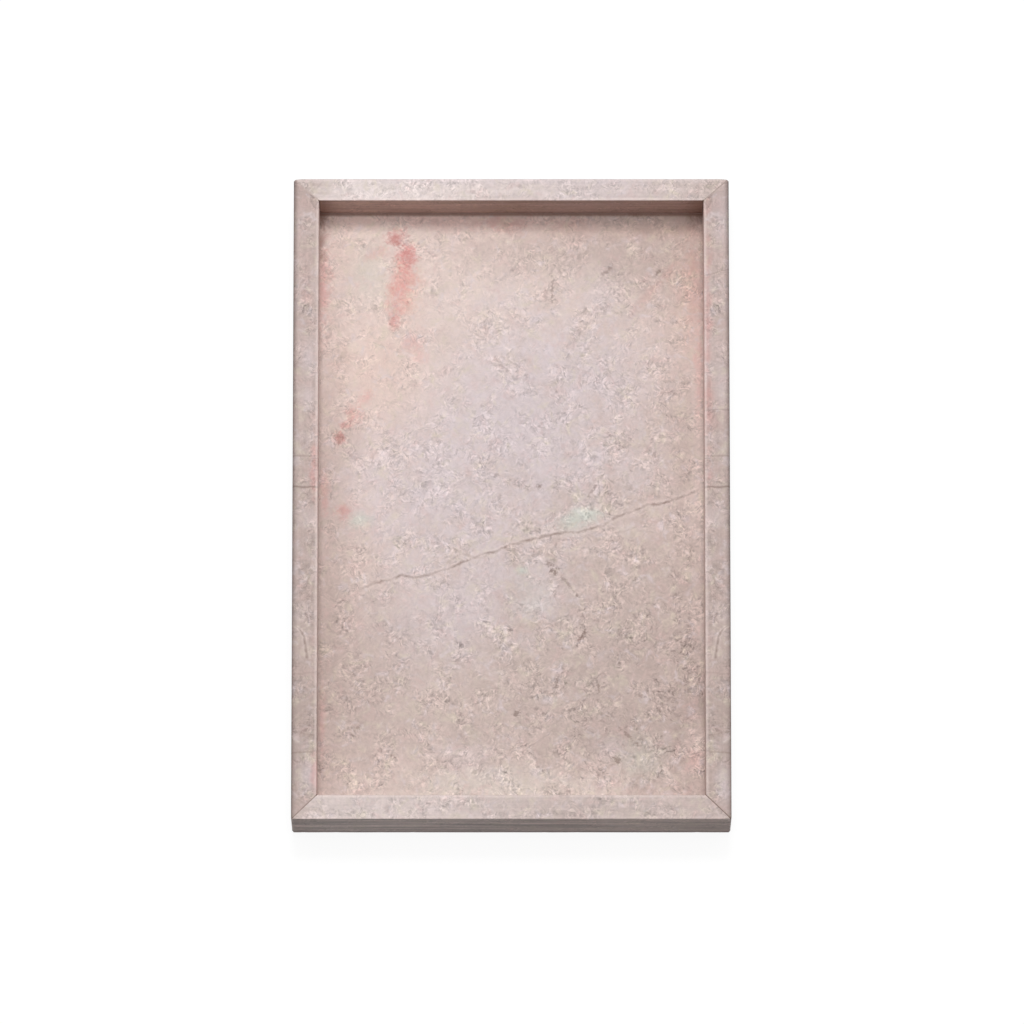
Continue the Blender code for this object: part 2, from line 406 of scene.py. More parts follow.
# Hairline veins of the slab, each as its route from left to right in millimetres, width and strength:
# the long one, its upper and lower strands on the left, and a faint one under its right half
LONG_VEIN = (
    (-74, -41), (-65, -36), (-58, -34), (-50, -31.5), (-45, -32.5), (-37, -31), (-30, -28.5), (-24, -26),
    (-12, -21), (-6, -20), (-1, -17), (10, -14.5), (20, -11.6), (31, -11.2), (42, -8), (48, -4), (58, -1),
    (62, 1.8), (70, 2.4), (77, 5), (88, 9.5),
)
SLAB_VEINS = (
    (LONG_VEIN, 0.95, 0.88),
    (((-31, -26.6), (-28.7, -24.9), (-25, -22.6), (-22.2, -21.2), (-14.4, -23.5), (-11, -22.0)), 0.8, 0.40),
    (((-57, -33.4), (-54.8, -34.3), (-50.7, -36.7), (-47, -38.5)), 0.8, 0.25),
    (((38, -13.2), (42.6, -12.2), (52.2, -10.8), (58, -8.4)), 0.7, 0.25),
)

# Stains of the slab, with some places of painted shade and light among them, each as x, y, half length
# and half width in millimetres, strength, and a turn in degrees where it has one
PINK_STAINS = (
    (-48, 121, 5.5, 7, 0.8, 10), (-53, 129, 5, 6, 0.58, -20), (-61, 121, 7, 3.2, 0.3, 25),
    (-50, 108, 7, 8, 0.5, 5), (-49, 106, 12, 20, 0.09), (-49, 115, 4.5, 6, 0.45), (-51.5, 99, 6, 9, 0.34),
    (-54, 94, 4, 6, 0.26), (-54, 88, 3.2, 4, 0.38), (-46, 79, 4, 6, 0.25, -30), (-42, 72, 5, 4, 0.2, -30),
    (-87, 107, 5, 26, 0.4), (-67, 52, 6, 3.4, 0.34, 40), (-72.5, 44, 5, 6, 0.4, -30),
    (-79, 33, 3.4, 4, 0.5), (-77.2, 38.7, 2.2, 2.2, 0.45), (-77, -1.4, 5, 5, 0.38), (-86, 8, 2.6, 12, 0.3),
    (85, 104, 6, 30, 0.19), (86.5, 60, 2.4, 26, 0.22), (66, 104, 16, 3, 0.16, 50), (83.5, -118, 5, 6, 0.19),
    (-86.5, -100, 2, 20, 0.22), (-20, 137, 60, 5, 0.17),
)
WINE_STAINS = (
    (-52, 128, 6.5, 5, 0.72, -20), (-48, 119, 4.5, 6, 0.34, 10), (-54, 96, 2.5, 6, 0.12),
    (-54, 88, 2.4, 3, 0.24), (-79, 33, 3.2, 4.8, 0.44, 20), (-75, 40, 4, 2.2, 0.35, 40),
    (-77, -1.5, 3.2, 3.4, 0.26), (-5, 135, 14, 5, 0.34), (24, 134, 12, 5, 0.18),
)
PEACH_STAINS = (
    (-49, 105, 9, 17, 0.42), (-58, 66, 26, 36, 0.22), (-70, 120, 16, 20, 0.12), (80, 100, 9, 32, 0.22),
)
GREEN_STAINS = (
    (33, -3.5, 13, 4.5, 0.6, 12), (27, -9, 7, 4, 0.3), (4.7, -29, 3.5, 2.5, 0.55), (8, -42, 10, 13, 0.18),
    (-70, -6, 6, 5, 0.5), (-66, 112, 12, 18, 0.3), (60, -118, 12, 14, 0.25), (-8, -131, 62, 11, 0.22),
)
LILAC_STAINS = (
    (8, 38, 64, 66, 0.95), (-25, -45, 48, 34, 0.8, 20), (-38, 8, 40, 36, 0.78), (12, -38, 22, 20, 0.5),
    (40, 60, 32, 26, 0.5), (45, -112, 9, 7, 0.6), (42, 103, 14, 18, 0.45), (-20, -119, 17, 11, 0.6),
    (-66, 15, 18, 26, 0.4),
)
# The row along the front at y -131 and the narrow rows along the side walls are painted light that offsets
# the shade near the walls; the other row is a stain
CREAM_STAINS_AND_LIGHT = (
    (-45, 88, 32, 40, 0.4), (0, -131, 100, 20, 0.72), (88, 25, 9, 118, 0.82), (-88, -15, 7, 30, 0.7),
    (86, -114, 9, 20, 0.7),
)
# The rows at y 122 and 113 are painted shade that carries the back wall's shadow further onto the floor; the
# other rows are stains
TAUPE_STAINS_AND_SHADE = (
    (60, -78, 40, 44, 0.25), (34, 122, 80, 16, 0.55), (72, 113, 32, 27, 0.66, -10),
    (-72, 112, 16, 18, 0.18), (-70, -78, 28, 56, 0.6), (76, 36, 14, 30, 0.3), (-75, 38, 11, 13, 0.34),
    (-86, -10, 20, 130, 0.5),
)
# Painted shade in the back corners of the recess
CORNER_SHADE = (
    (-88, 139, 5, 7, 0.55), (-88, 127, 4.5, 14, 0.45), (88, 139, 8, 6, 0.5),
)
DARK_MARKS = (
    (-78.6, 31.5, 2.2, 2.8, 0.3), (67.6, 111.6, 1.8, 1.2, 0.6, 20), (18.8, 104, 0.8, 6, 0.45),
    (44.2, 112.3, 1.1, 4.5, 0.4, -50), (32.2, -60, 1.2, 3.2, 0.8, -40), (20.8, -80.5, 1.1, 2.8, 0.5, -10),
    (2.6, -96.1, 1.7, 1.5, 0.7), (48, -117.3, 1.8, 2.6, 0.65, 30), (-54.6, -116.1, 1.4, 1.4, 0.5),
    (54, -107, 0.8, 5.5, 0.5, 45), (20.0, -29.5, 2.2, 2.6, 0.75, 35), (17.0, -26.0, 1.8, 1.4, 0.55),
    (25, -34.5, 0.8, 5.0, 0.45, 40), (30, -40.5, 0.9, 1.6, 0.5, 40), (13, 10.3, 1.7, 1.2, 0.55),
    (50.6, 28.6, 2.4, 0.9, 0.45, 15), (65.8, 25.4, 1.0, 1.6, 0.4, -20), (37, 8, 0.8, 3.0, 0.4, -30),
    (-7, 16, 1.6, 1.0, 0.35, 30), (-70, -103, 1.8, 1.2, 0.45), (40, -84, 0.9, 2.0, 0.5, 10),
    (60, -88, 2.6, 0.8, 0.45, -15),
)


def floor_shade_and_light(recipe, colour, colours, x, y):
    """The floor near the walls: painted shade at their foot, a painted shadow band off the back one, and
    painted light along the front one.

    A gap is the distance from a wall. At the back the painted shade of the strip and the band grow stronger
    to the right.
    """
    side_gap = OPENING_HALF_WIDTH / MILLIMETRE - abs(x)
    back_gap = OPENING_BACK / MILLIMETRE - y
    front_gap = y - OPENING_FRONT / MILLIMETRE
    # Painted shade along the foot of the side and front walls
    at_foot = 1 - side_gap.math("MINIMUM", front_gap).ramp(0.0, 2.4)
    colour = recipe.mix(at_foot * 0.12, colour, colours.painted_shade)
    # Painted shade: a dark line along the foot of the back wall
    at_back = 1 - back_gap.ramp(0.6, 2.0)
    colour = recipe.mix(at_back * 0.74, colour, colours.painted_shade)
    # Painted shade: a brown strip in the back wall's shadow, stronger to the right
    shade_strip = (1 - back_gap.ramp(1.0, 5.5)) * (x * 0.0025 + 0.09).clamped()
    colour = recipe.mix(shade_strip, colour, colours.painted_shade)
    # Painted shadow: the band that the back wall casts on the floor
    band = back_gap.ramp(2.0, 8.0) * (1 - back_gap.ramp(8.0, 16.0)) * (x * 0.0034 + 0.18).clamped()
    colour = recipe.mix(band, colour, colours.shade_tint, "MULTIPLY")
    # Painted light: the floor made paler along the front wall
    painted_front_light = 1 - front_gap.ramp(3.5, 8.5)
    return recipe.scaled(colour, painted_front_light * 0.17 + 1.0)


def slab_material(colours):
    """The slab: cream, lilac and taupe clouds, placed stains, hairline veins, specks and grain, with painted
    shade and light near the walls.
    """
    recipe = new_recipe("slab_marble")
    place = recipe.place()
    x, y = recipe.split(place)[:2]
    rough = recipe.noise(place, 14.0, detail=5.0, roughness=0.62, distortion=0.8, shift=3)
    ragged = recipe.noise(place, 4.0, roughness=0.65, distortion=0.8, shift=9)
    edge = rough * 0.6 + ragged * 0.45
    feather = recipe.noise(place, 2.4, roughness=0.7, distortion=1.2, shift=13)
    drift = (x * 0.0034 - y * 0.0032 + rough * 0.18 + 0.40).clamped()
    colour = recipe.mix(drift, colours.cream, colours.taupe)
    pale = recipe.mix(drift * 0.55, colours.lilac, colours.taupe)
    for table, border, tint in (
        (LILAC_STAINS, edge, pale),
        (CREAM_STAINS_AND_LIGHT, edge, colours.cream),
        (TAUPE_STAINS_AND_SHADE, edge, colours.taupe),
        (PEACH_STAINS, edge * 1.2, colours.peach),
        (GREEN_STAINS, edge, colours.green),
        (PINK_STAINS, edge * 0.95 + feather * 0.70, colours.pink),
        (WINE_STAINS, edge + feather * 0.80, colours.wine),
    ):
        colour = stain(recipe, colour, x, y, border, table, tint)
    colour, fine = crystal_grain(recipe, colour, place, colours, drift * 0.55 + 0.75)
    specks = mineral_specks(recipe, place)
    colour = recipe.mix(specks * 0.55, colour, colours.speck)
    # Painted shade and light near the walls, then painted shade in the back corners
    colour = floor_shade_and_light(recipe, colour, colours, x, y)
    colour = stain(recipe, colour, x, y, ragged, CORNER_SHADE, colours.painted_shade)
    colour = stain(recipe, colour, x, y, ragged * 0.8 + fine * 1.4, DARK_MARKS, colours.speck)
    wobble = recipe.noise(place, 4.0, detail=4.0, roughness=0.75, shift=41) * 0.9
    beat = recipe.noise(place, 5.0, roughness=0.65, shift=77)
    vein = 0.0
    for route, width, strength in SLAB_VEINS:
        colour, mask = vein_along(recipe, colour, colours, x, y + wobble, route, width, strength, beat)
        vein = mask + vein
    return recipe.finish(stone_shader(recipe, colour, (specks * 0.6 + vein * 0.4).clamped(), fine))


def vein_along(recipe, colour, colours, along, across, route, width, strength, beat):
    """Lays a hairline vein along a route, with a faint pale border, and returns the colour and its mask.

    The distance across is measured from the route, which a curve gives for each place along, both
    scaled to 0 to 1. The vein fades in and out at its ends, and a noise, the beat, breaks it up.
    """
    places, heights = zip(*route)
    first, last = min(places), max(places)
    low, high = min(heights), max(heights)
    points = [((place - first) / (last - first), (height - low) / (high - low)) for place, height in route]
    share = (along - first) / (last - first)
    line = recipe.add("FloatCurve", {"curve": points}, {"Value": share}) * (high - low) + low
    ends = share.ramp(0.0, 0.08) * (1 - share.ramp(0.97, 1.0)) * (share * 0.35 + 0.80)
    distance = across - line
    border = (1 - abs(distance) / (width * 2.6)).clamped() * ends * strength
    mask = hairline(distance, width, beat) * ends * (beat * 0.60 + 0.68).clamped() * strength
    colour = recipe.mix(border * 0.35, colour, colours.pale_and_highlight)
    return recipe.mix(mask, colour, colours.vein), mask


# Hairlines across the side rails, the same on both because they are sawn from one block and turned over,
# apart from those of the right rail alone: place along the rail, slope, width, strength, on the left too
RAIL_HAIRLINES = (
    (107.0, 0.25, 0.6, 0.35, False),
    (40.7, 0.0, 0.6, 0.40, False),
    (19.5, 0.02, 0.6, 0.35, True),
    (5.0, 0.03, 0.65, 0.75, True),
    (-83, -0.10, 0.6, 0.25, True),
    (-109.5, 0.15, 0.6, 0.25, True),
    (-119.5, -0.08, 0.65, 0.45, True),
)
# A curved hairline of both side rails as its route, the inset from the outer face over the place along
# the rail, its width and its strength
RAIL_CURVE = (
    ((-76.2, 7.4), (-72.0, 6.7), (-68.8, 6.2), (-65.5, 5.5), (-63.2, 4.6), (-61.2, 2.6), (-60.0, 0.9)),
    0.85, 1.05,
)
RAIL_PINK = (
    (-89.6, 14, 2.4, 24, 0.34), (-88.6, -128, 2.4, 10, 0.34), (89.6, 74, 2.7, 66, 0.3),
    (91.5, 36, 6, 14, 0.1), (-94, 98, 4, 12, 0.1),
)
RAIL_LILAC = (
    (-92.9, 65, 4, 10, 0.5), (-93.2, 47, 4, 8, 0.4), (-92.3, -130, 5, 9, 0.5), (97, 132, 5, 14, 0.5),
    (96, 52, 4, 16, 0.3), (96.3, -133, 4, 10, 0.5),
)
RAIL_DARK = (
    (-94, -109, 9, 16, 0.17), (94, -109, 9, 16, 0.17), (95, 138, 8, 11, 0.26), (-95, 142, 8, 9, 0.2),
    (-94, -44, 8, 12, 0.08), (94, -44, 8, 12, 0.08), (92, 36, 7, 18, 0.12),
)
# Stains of the end rails: where they are darker, and the cool outer edge of the back rail
END_RAIL_TAUPE = {
    "front": ((-101, -146, 14, 11, 0.7), (26, -146, 36, 14, 0.3)),
    "back": ((-97, 145, 20, 12, 0.85), (99, 145, 13, 12, 0.6), (3, 138, 22, 4.5, 0.5)),
}
END_RAIL_LILAC = {"front": (), "back": ((0, 150.5, 104, 3.6, 0.8), (38, 145, 36, 14, 0.35))}
# Strengths of the bedding and of the painted shade, light and highlight on the rails' faces, as rail_edges
# explains them
SIDE_RAIL_FACES = {"lines": 0.22, "shade_tint": 0.0, "painted_light": 0.30, "painted_shade": 0.15, "eased": 0.62, "rubbed": 0.0}
END_RAIL_FACES = {
    "front": {"lines": 0.50, "shade_tint": 0.5, "painted_light": 0.0, "painted_shade": 0.4, "eased": 0.0, "rubbed": 0.248},
    "back": {"lines": 0.26, "shade_tint": 1.0, "painted_light": 0.0, "painted_shade": 0.4, "eased": 0.0, "rubbed": 0.248},
}


def rail_edges(recipe, colour, colours, inset, height, width, wavering, beds, corner, faces):
    """A rail's edges and faces: a painted highlight on the inner edge, and painted shade on the walls, more
    of it low down.

    The inset is the distance from the outer face, and the normal's height tells the top from the walls.
    beds are the bedding lines, and corner is painted shade towards the inner wall's ends. Of the faces'
    values, lines is how strongly the bedding shows on the walls, sanded how much of its painted shade tint
    the inner wall takes, lift how much paler that wall is made by painted light, dirt how much painted shade
    lies at its foot, eased how strongly painted shade darkens the outer top edge, and rubbed how much that
    edge is lightened by a painted highlight.
    """
    up = recipe.split(recipe.add("TexCoord", {}, {}, "Normal"))[2]
    floor = SLAB_HIGH.z / MILLIMETRE
    bottom = STONE_BOTTOM / MILLIMETRE
    from_inside = width - inset
    # Painted highlight along the inner top edge
    highlighted = (wavering * 0.35 + 0.6).clamped() * up.ramp(0.35, 0.75)
    pale_and_highlight = (1 - from_inside.ramp(0.6, 1.7)) * highlighted
    colour = recipe.mix(pale_and_highlight * 0.6, colour, colours.pale_and_highlight)
    wall = 1 - up.ramp(0.25, 0.6)
    inner_wall = (1 - from_inside.ramp(0.05, 0.35)) * wall
    outer_wall = (1 - inset.ramp(0.05, 0.8)) * wall
    colour = recipe.scaled(colour, beds * faces["lines"] * wall + 1.0)
    colour = recipe.mix(inner_wall * faces["shade_tint"], colour, colours.shade_tint, "MULTIPLY")
    # Painted light: the inner walls made paler, used on the side rails
    colour = recipe.scaled(colour, inner_wall * faces["painted_light"] + 1.0)
    # Painted shade at the foot of the inner walls and towards the recess corners
    foot_shade = inner_wall * ((1 - height.ramp(floor, floor + 5)) * faces["painted_shade"] + corner).clamped()
    colour = recipe.mix(foot_shade, colour, colours.painted_shade)
    # Painted shade over the outer walls, darker towards their foot
    low = 1 - height.ramp(bottom, bottom + 7)
    colour = recipe.mix(outer_wall * (low * 0.50 + 0.36), colour, colours.wall_shade, "MULTIPLY")
    # Painted shade on the undersides and on the lowest few millimetres of the outer walls
    underside = (0 - up).ramp(0.0, 0.2)
    low_shade = underside * 0.45 + outer_wall * (1 - height.ramp(bottom + 1, bottom + 5)) * 0.42
    colour = recipe.mix(low_shade, colour, colours.speck, "MULTIPLY")
    # Painted highlight along the outer top edge, used on the front and back rails
    highlit_edge = (1 - inset.ramp(0.4, 1.8)) * up.ramp(0.1, 0.5)
    colour = recipe.mix(highlit_edge * faces["rubbed"], colour, colours.pale_and_highlight)
    # Painted shade on the outer top edge, used on the side rails
    eased_edge = (1 - inset.ramp(0.0, 2.8)) * up.ramp(0.0, 0.25)
    return recipe.mix(eased_edge * faces["eased"], colour, colours.rim_shade, "MULTIPLY")


def side_rail_material(colours):
    """The side rails: bookmatched, so the pattern is laid out on the distance from the middle of the tray."""
    recipe = new_recipe("side_rail_marble")
    place = recipe.place()
    x, y, z = recipe.split(place)
    matched = recipe.join(abs(x), y, z)
    rough = recipe.noise(matched, 12.0, detail=4.0, distortion=0.6, shift=19)
    waver = recipe.noise(matched, 7.0, shift=67)
    lines = recipe.noise(recipe.join(abs(x), y * 0.07, z), 1.5, detail=2.0, shift=29)
    inset = HALF_WIDTH / MILLIMETRE - abs(x)
    right = x.ramp(-1.0, 1.0)
    colour = recipe.mix(y.ramp(105.0, -110.0) * 0.95, colours.side_rail, colours.taupe)
    colour = recipe.mix(rough.ramp(-0.2, 1.2) * 0.35, colour, colours.lilac)
    colour = recipe.mix((0 - rough).ramp(0.0, 1.4) * 0.35, colour, colours.rose)
    colour = stain(recipe, colour, x, y, rough * 0.8, RAIL_LILAC, colours.lilac)
    colour = stain(recipe, colour, x, y, rough * 1.2 + z.ramp(32.0, 14.0), RAIL_PINK, colours.pink)
    colour = stain(recipe, colour, x, y, rough * 0.5, RAIL_DARK, colours.speck)
    colour, fine = crystal_grain(recipe, colour, matched, colours, 0.95)
    colour = recipe.scaled(colour, lines * 0.06 + 1.0)
    specks = mineral_specks(recipe, matched, 21)
    colour = recipe.mix(specks * 0.5, colour, colours.speck)
    for along, slope, width, strength, on_left in RAIL_HAIRLINES:
        distance = y - along + inset * slope + waver * 0.5
        mask = hairline(distance, width, waver) * strength
        colour = recipe.mix(mask if on_left else mask * right, colour, colours.vein)
    across = inset + waver * 0.4
    colour = vein_along(recipe, colour, colours, y, across, *RAIL_CURVE, waver)[0]
    width = SIDE_RAIL_WIDTH / MILLIMETRE
    beds = recipe.noise(recipe.join(inset, y * 0.06, z), 4.0, roughness=0.7, shift=53)
    colour = rail_edges(recipe, colour, colours, inset, z, width, waver, beds, 0.0, SIDE_RAIL_FACES)
    return recipe.finish(stone_shader(recipe, colour, specks * 0.5, fine))


def end_rail_material(colours, end):
    """The front or the back rail: faint streaks along its length, and bedding lines on its walls."""
    recipe = new_recipe(end + "_rail_marble")
    place = recipe.place()
    x, y, z = recipe.split(place)
    shift = 100 if end == "back" else 150
    drawn_out = recipe.join(x * 0.35, y, z)
    streaks = recipe.noise(drawn_out, 6.0, detail=4.0, distortion=0.5, shift=shift)
    lines = recipe.noise(recipe.join(x * 0.07, y, z), 1.4, detail=2.0, shift=shift + 7)
    drift = (x * 0.0042 + streaks * 0.12 + 0.30).clamped()
    colour = recipe.mix(drift, getattr(colours, end + "_rail"), colours.taupe)
    colour = recipe.mix(streaks.ramp(0.0, 1.2) * 0.3, colour, colours.lilac)
    colour = recipe.mix((0 - streaks).ramp(0.2, 1.4) * 0.3, colour, colours.rose)
    colour = stain(recipe, colour, x, y, streaks * 0.8, END_RAIL_TAUPE[end], colours.taupe)
    colour = stain(recipe, colour, x, y, streaks * 0.5, END_RAIL_LILAC[end], colours.lilac)
    colour, fine = crystal_grain(recipe, colour, place, colours, 0.95, shift)
    colour = recipe.scaled(colour, lines * 0.06 + 1.0)
    specks = mineral_specks(recipe, place, shift)
    colour = recipe.mix(specks * 0.35, colour, colours.speck)
    inset = HALF_LENGTH / MILLIMETRE - abs(y)
    width = RAIL_WIDTHS[end] / MILLIMETRE
    beds = recipe.noise(recipe.join(x * 0.06, inset, z), 4.0, roughness=0.7, shift=shift + 13)
    # Painted shade on the inner wall towards the recess corners
    corner = (abs(x) - OPENING_HALF_WIDTH / MILLIMETRE).ramp(-9.0, 0.0) * 0.48
    colour = rail_edges(recipe, colour, colours, inset, z, width, streaks, beds, corner, END_RAIL_FACES[end])
    return recipe.finish(stone_shader(recipe, colour, specks * 0.5, fine))


def resin_material(colours):
    """Joint resin: darker and lighter stretches where it holds more or less stone dust."""
    recipe = new_recipe("joint_resin")
    place = recipe.place()
    x, y, z = recipe.split(place)
    dust = recipe.noise(place, 3.0)
    on_top = z.ramp(12.0, 30.0)
    filled = (dust * 0.30 + 0.62 + on_top * ((y - x) * 0.003 - 0.12)).clamped()
    colour = recipe.mix(filled, colours.resin, colours.taupe)
    relief = recipe.bump(dust, 0.3, 0.1 * MILLIMETRE)
    return recipe.finish(recipe.principled({"Base Color": colour, "Roughness": 0.5, "Normal": relief}))


def foot_material(colours):
    """Milky silicone with a little dust on it."""
    recipe = new_recipe("foot_silicone")
    place = recipe.place()
    dust = recipe.noise(place, 1.5)
    colour = recipe.mix(dust.ramp(0.2, 1.5) * 0.3, colours.silicone, colours.taupe)
    relief = recipe.bump(dust, 0.2, 0.1 * MILLIMETRE)
    milky = {"Subsurface Weight": 0.3, "Subsurface Radius": (0.002, 0.002, 0.002), "Subsurface Scale": 1.0}
    inputs = {"Base Color": colour, "Roughness": 0.5 + dust * 0.05, "Normal": relief, **milky}
    return recipe.finish(recipe.principled(inputs))


# Meshes

ARC_STEPS = 7
FLAT_LEAD = 0.25 * MILLIMETRE
STATION_STEP = 0.45 * MILLIMETRE
CORNER_STATIONS = 24
BED_STATIONS = 40
MERGE_DISTANCE = 1e-7
SHARP_ANGLE = math.radians(40)
WAVES = 7


def rounded_outline(corners, radii, lead=0.0):
    """A closed outline whose corners are rounded: an array of stations by points by two.

    corners is points by two, each a right angle, and radii is stations by points. An arc runs from its
    corner less r times the incoming direction to the corner plus r times the outgoing one, round a centre
    that lies r from both. A lead adds a point on the flat before and after each arc, so that the arc's
    smooth shading doesn't spread over the flat.
    """
    corners = np.array(corners, float)
    incoming = corners - np.roll(corners, 1, axis=0)
    incoming /= np.linalg.norm(incoming, axis=1, keepdims=True)
    outgoing = np.roll(incoming, -1, axis=0)
    angle = np.linspace(0, math.pi / 2, ARC_STEPS)[:, None]
    arc = (np.sin(angle) - 1) * incoming[:, None, :] + (1 - np.cos(angle)) * outgoing[:, None, :]
    points = corners[None, :, None, :] + radii[:, :, None, None] * arc[None]
    if lead:
        before = points[:, :, :1] - lead * incoming[:, None, :]
        after = points[:, :, -1:] + lead * outgoing[:, None, :]
        points = np.concatenate([before, points, after], axis=2)
    return points.reshape(len(radii), -1, 2)


def wander(along, seed, length):
    """A slow random wave between about -1 and 1: cosines of mixed lengths with seeded phases."""
    rng = np.random.default_rng(seed)
    lengths = length * rng.uniform(0.4, 2.5, WAVES)
    phases = rng.uniform(0, 2 * math.pi, WAVES)
    return np.cos(2 * math.pi * along[:, None] / lengths + phases).sum(axis=1) / (WAVES / 2)


def chips(along, seed, count, deepest):
    """Small bruises along an edge: smooth bumps at seeded places, each one to four millimetres long."""
    rng = np.random.default_rng(seed)
    places = rng.uniform(along.min(), along.max(), count)
    spreads = rng.uniform(0.4, 1.6, count) * MILLIMETRE
    depths = deepest * rng.uniform(0.2, 1.0, count) ** 2
    return (depths * np.exp(-(((along[:, None] - places) / spreads) ** 2))).sum(axis=1)


def worn_edge(radius, along, seed, share, length, count, deepest):
    """An edge's radius along a rail: it wanders by a share of itself, and chips make it larger."""
    return radius * (1 + share * wander(along, seed, length)) + chips(along, seed + 1, count, deepest)


def tube_mesh(name, grid):
    """A closed mesh from a grid of stations by points: a band round the outline and a cap at each end."""
    stations, points = grid.shape[:2]
    index = np.arange(stations * points).reshape(stations, points)
    turned = np.roll(index, -1, axis=1)
    band = np.stack([index[:-1], turned[:-1], turned[1:], index[1:]], axis=-1).reshape(-1, 4)
    faces = band.tolist() + [index[0].tolist(), index[-1][::-1].tolist()]
    mesh = bpy.data.meshes.new(name)
    mesh.from_pydata(grid.reshape(-1, 3).tolist(), [], faces)
    bm = bmesh.new()
    bm.from_mesh(mesh)
    bmesh.ops.remove_doubles(bm, verts=bm.verts, dist=MERGE_DISTANCE)
    bmesh.ops.recalc_face_normals(bm, faces=bm.faces)
    bm.to_mesh(mesh)
    bm.free()
    mesh.shade_smooth()
    mesh.set_sharp_from_angle(angle=SHARP_ANGLE)
    return mesh


def add_piece(name, grid, material, node):
    """Puts a mesh in the scene as a piece that stands for one CAD node."""
    piece = bpy.data.objects.new(name, tube_mesh(name, grid))
    bpy.context.scene.collection.objects.link(piece)
    piece.data.materials.append(material)
    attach(piece, "root")
    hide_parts(node)


def rounded_corner(inset, along, half_along, radius):
    """Rounds the tray's upright corners in plan.

    Near a corner, a point that lies closer to the outer face than the radius is drawn towards the arc's
    centre until its distance from it is the radius less its inset.
    """
    past = np.abs(along) - (half_along - radius)
    room = radius - inset
    inside = (past > 0) & (room > 0)
    reach = np.hypot(past, room)
    pull = np.where(inside, room / np.where(inside, reach, 1), 1)
    new_along = np.where(inside, np.sign(along) * (half_along - radius + past * pull), along)
    new_inset = np.where(inside, radius - room * pull, inset)
    return new_inset, new_along


def rail_stations(half_along, radius):
    """Places along a rail, close together at its ends, as shares from -1 to 1."""
    middle = np.linspace(-1, 1, int(2 * half_along / STATION_STEP))
    close = 1 - np.linspace(0, 2 * radius / half_along, CORNER_STATIONS)
    return np.unique(np.concatenate([middle, close, -close]))


def easing_radius(sizes, rail, along):
    """The outer top edge's radius along a rail.

    A side rail's grows evenly from front to back. An end rail's is small and grows to the side's within
    a short run at each corner, so the two agree at the mitre.
    """
    front, back = sizes.side_easing_front, sizes.side_easing_back
    if rail in SIDES:
        share = (along / HALF_LENGTH + 1) / 2
        return front + (back - front) * share
    corner = front if rail == "front" else back
    from_corner = (HALF_WIDTH - np.abs(along)) / sizes.easing_run
    blend = np.clip(1 - from_corner, 0, 1) ** 2
    return sizes.end_easing + (corner - sizes.end_easing) * blend


def half_run(rail):
    """Half a rail's length along its outer face."""
    return HALF_LENGTH if rail in SIDES else HALF_WIDTH


def rebate(sizes, rail):
    """The skirt's thickness and the shoulder's height, set off the slab by the bed's joint."""
    tuck = SLAB_HIGH.x - OPENING_HALF_WIDTH
    return RAIL_WIDTHS[rail] - tuck - sizes.bed_joint, SLAB_HIGH.z + sizes.bed_joint


def rail_grid(sizes, rail):
    """A rail as stations along it by points round its section, a rebated strip with rounded edges."""
    width = RAIL_WIDTHS[rail]
    half_along = half_run(rail)
    skirt, shoulder = rebate(sizes, rail)
    share = rail_stations(half_along, sizes.corner_radius)
    along = share * half_along
    seed = sum(map(ord, rail))
    easing = easing_radius(sizes, rail, along)
    easing = worn_edge(easing, along, seed, 0.05, 0.03, 14, 0.3 * MILLIMETRE)
    inner = worn_edge(sizes.inner_arris, along, seed + 2, 0.12, 0.012, 18, 0.45 * MILLIMETRE)
    lower = worn_edge(sizes.lower_arris, along, seed + 4, 0.10, 0.02, 16, 0.5 * MILLIMETRE)
    sawn = np.full_like(along, sizes.sawn_edge)
    corners = ((0, STONE_BOTTOM), (0, STONE_TOP), (width, STONE_TOP), (width, shoulder),
               (skirt, shoulder), (skirt, STONE_BOTTOM))
    outline = rounded_outline(corners, np.stack([lower, easing, inner, sawn, sawn, sawn], axis=1), FLAT_LEAD)
    inset, height = outline[..., 0], outline[..., 1]
    run = run_to_mitres(sizes, rail, share, inset)
    inset, run = rounded_corner(inset, run, half_along, sizes.corner_radius)
    return placed(rail, inset, run, height)


def mitre_slope(rail, share):
    """How far a rail's end is cut back for each length of inset, at its nearer corner."""
    if rail in SIDES:
        widths = np.where(share > 0, RAIL_WIDTHS["back"], RAIL_WIDTHS["front"])
        return (widths / SIDE_RAIL_WIDTH)[:, None]
    return SIDE_RAIL_WIDTH / RAIL_WIDTHS[rail]


def run_to_mitres(sizes, rail, share, inset):
    """Places along a rail at a share of the way from its middle to its mitres.

    The mitre plane crosses the rail slantwise, so the whole way is the rail's half length less the inset
    times the mitre's slope, and less half the joint measured along the rail.
    """
    slope = mitre_slope(rail, share)
    half_joint = sizes.mitre_joint / 2 + sizes.seat_gap
    return share[:, None] * (half_run(rail) - inset * slope - half_joint * np.hypot(1, slope))


def placed(rail, inset, run, height):
    """Turns insets, runs and heights into points on the tray."""
    if rail in SIDES:
        x = SIDES[rail] * (HALF_WIDTH - inset)
        return np.stack([x, run, height], axis=-1)
    y = ENDS[rail] * (HALF_LENGTH - inset)
    return np.stack([run, y, height], axis=-1)


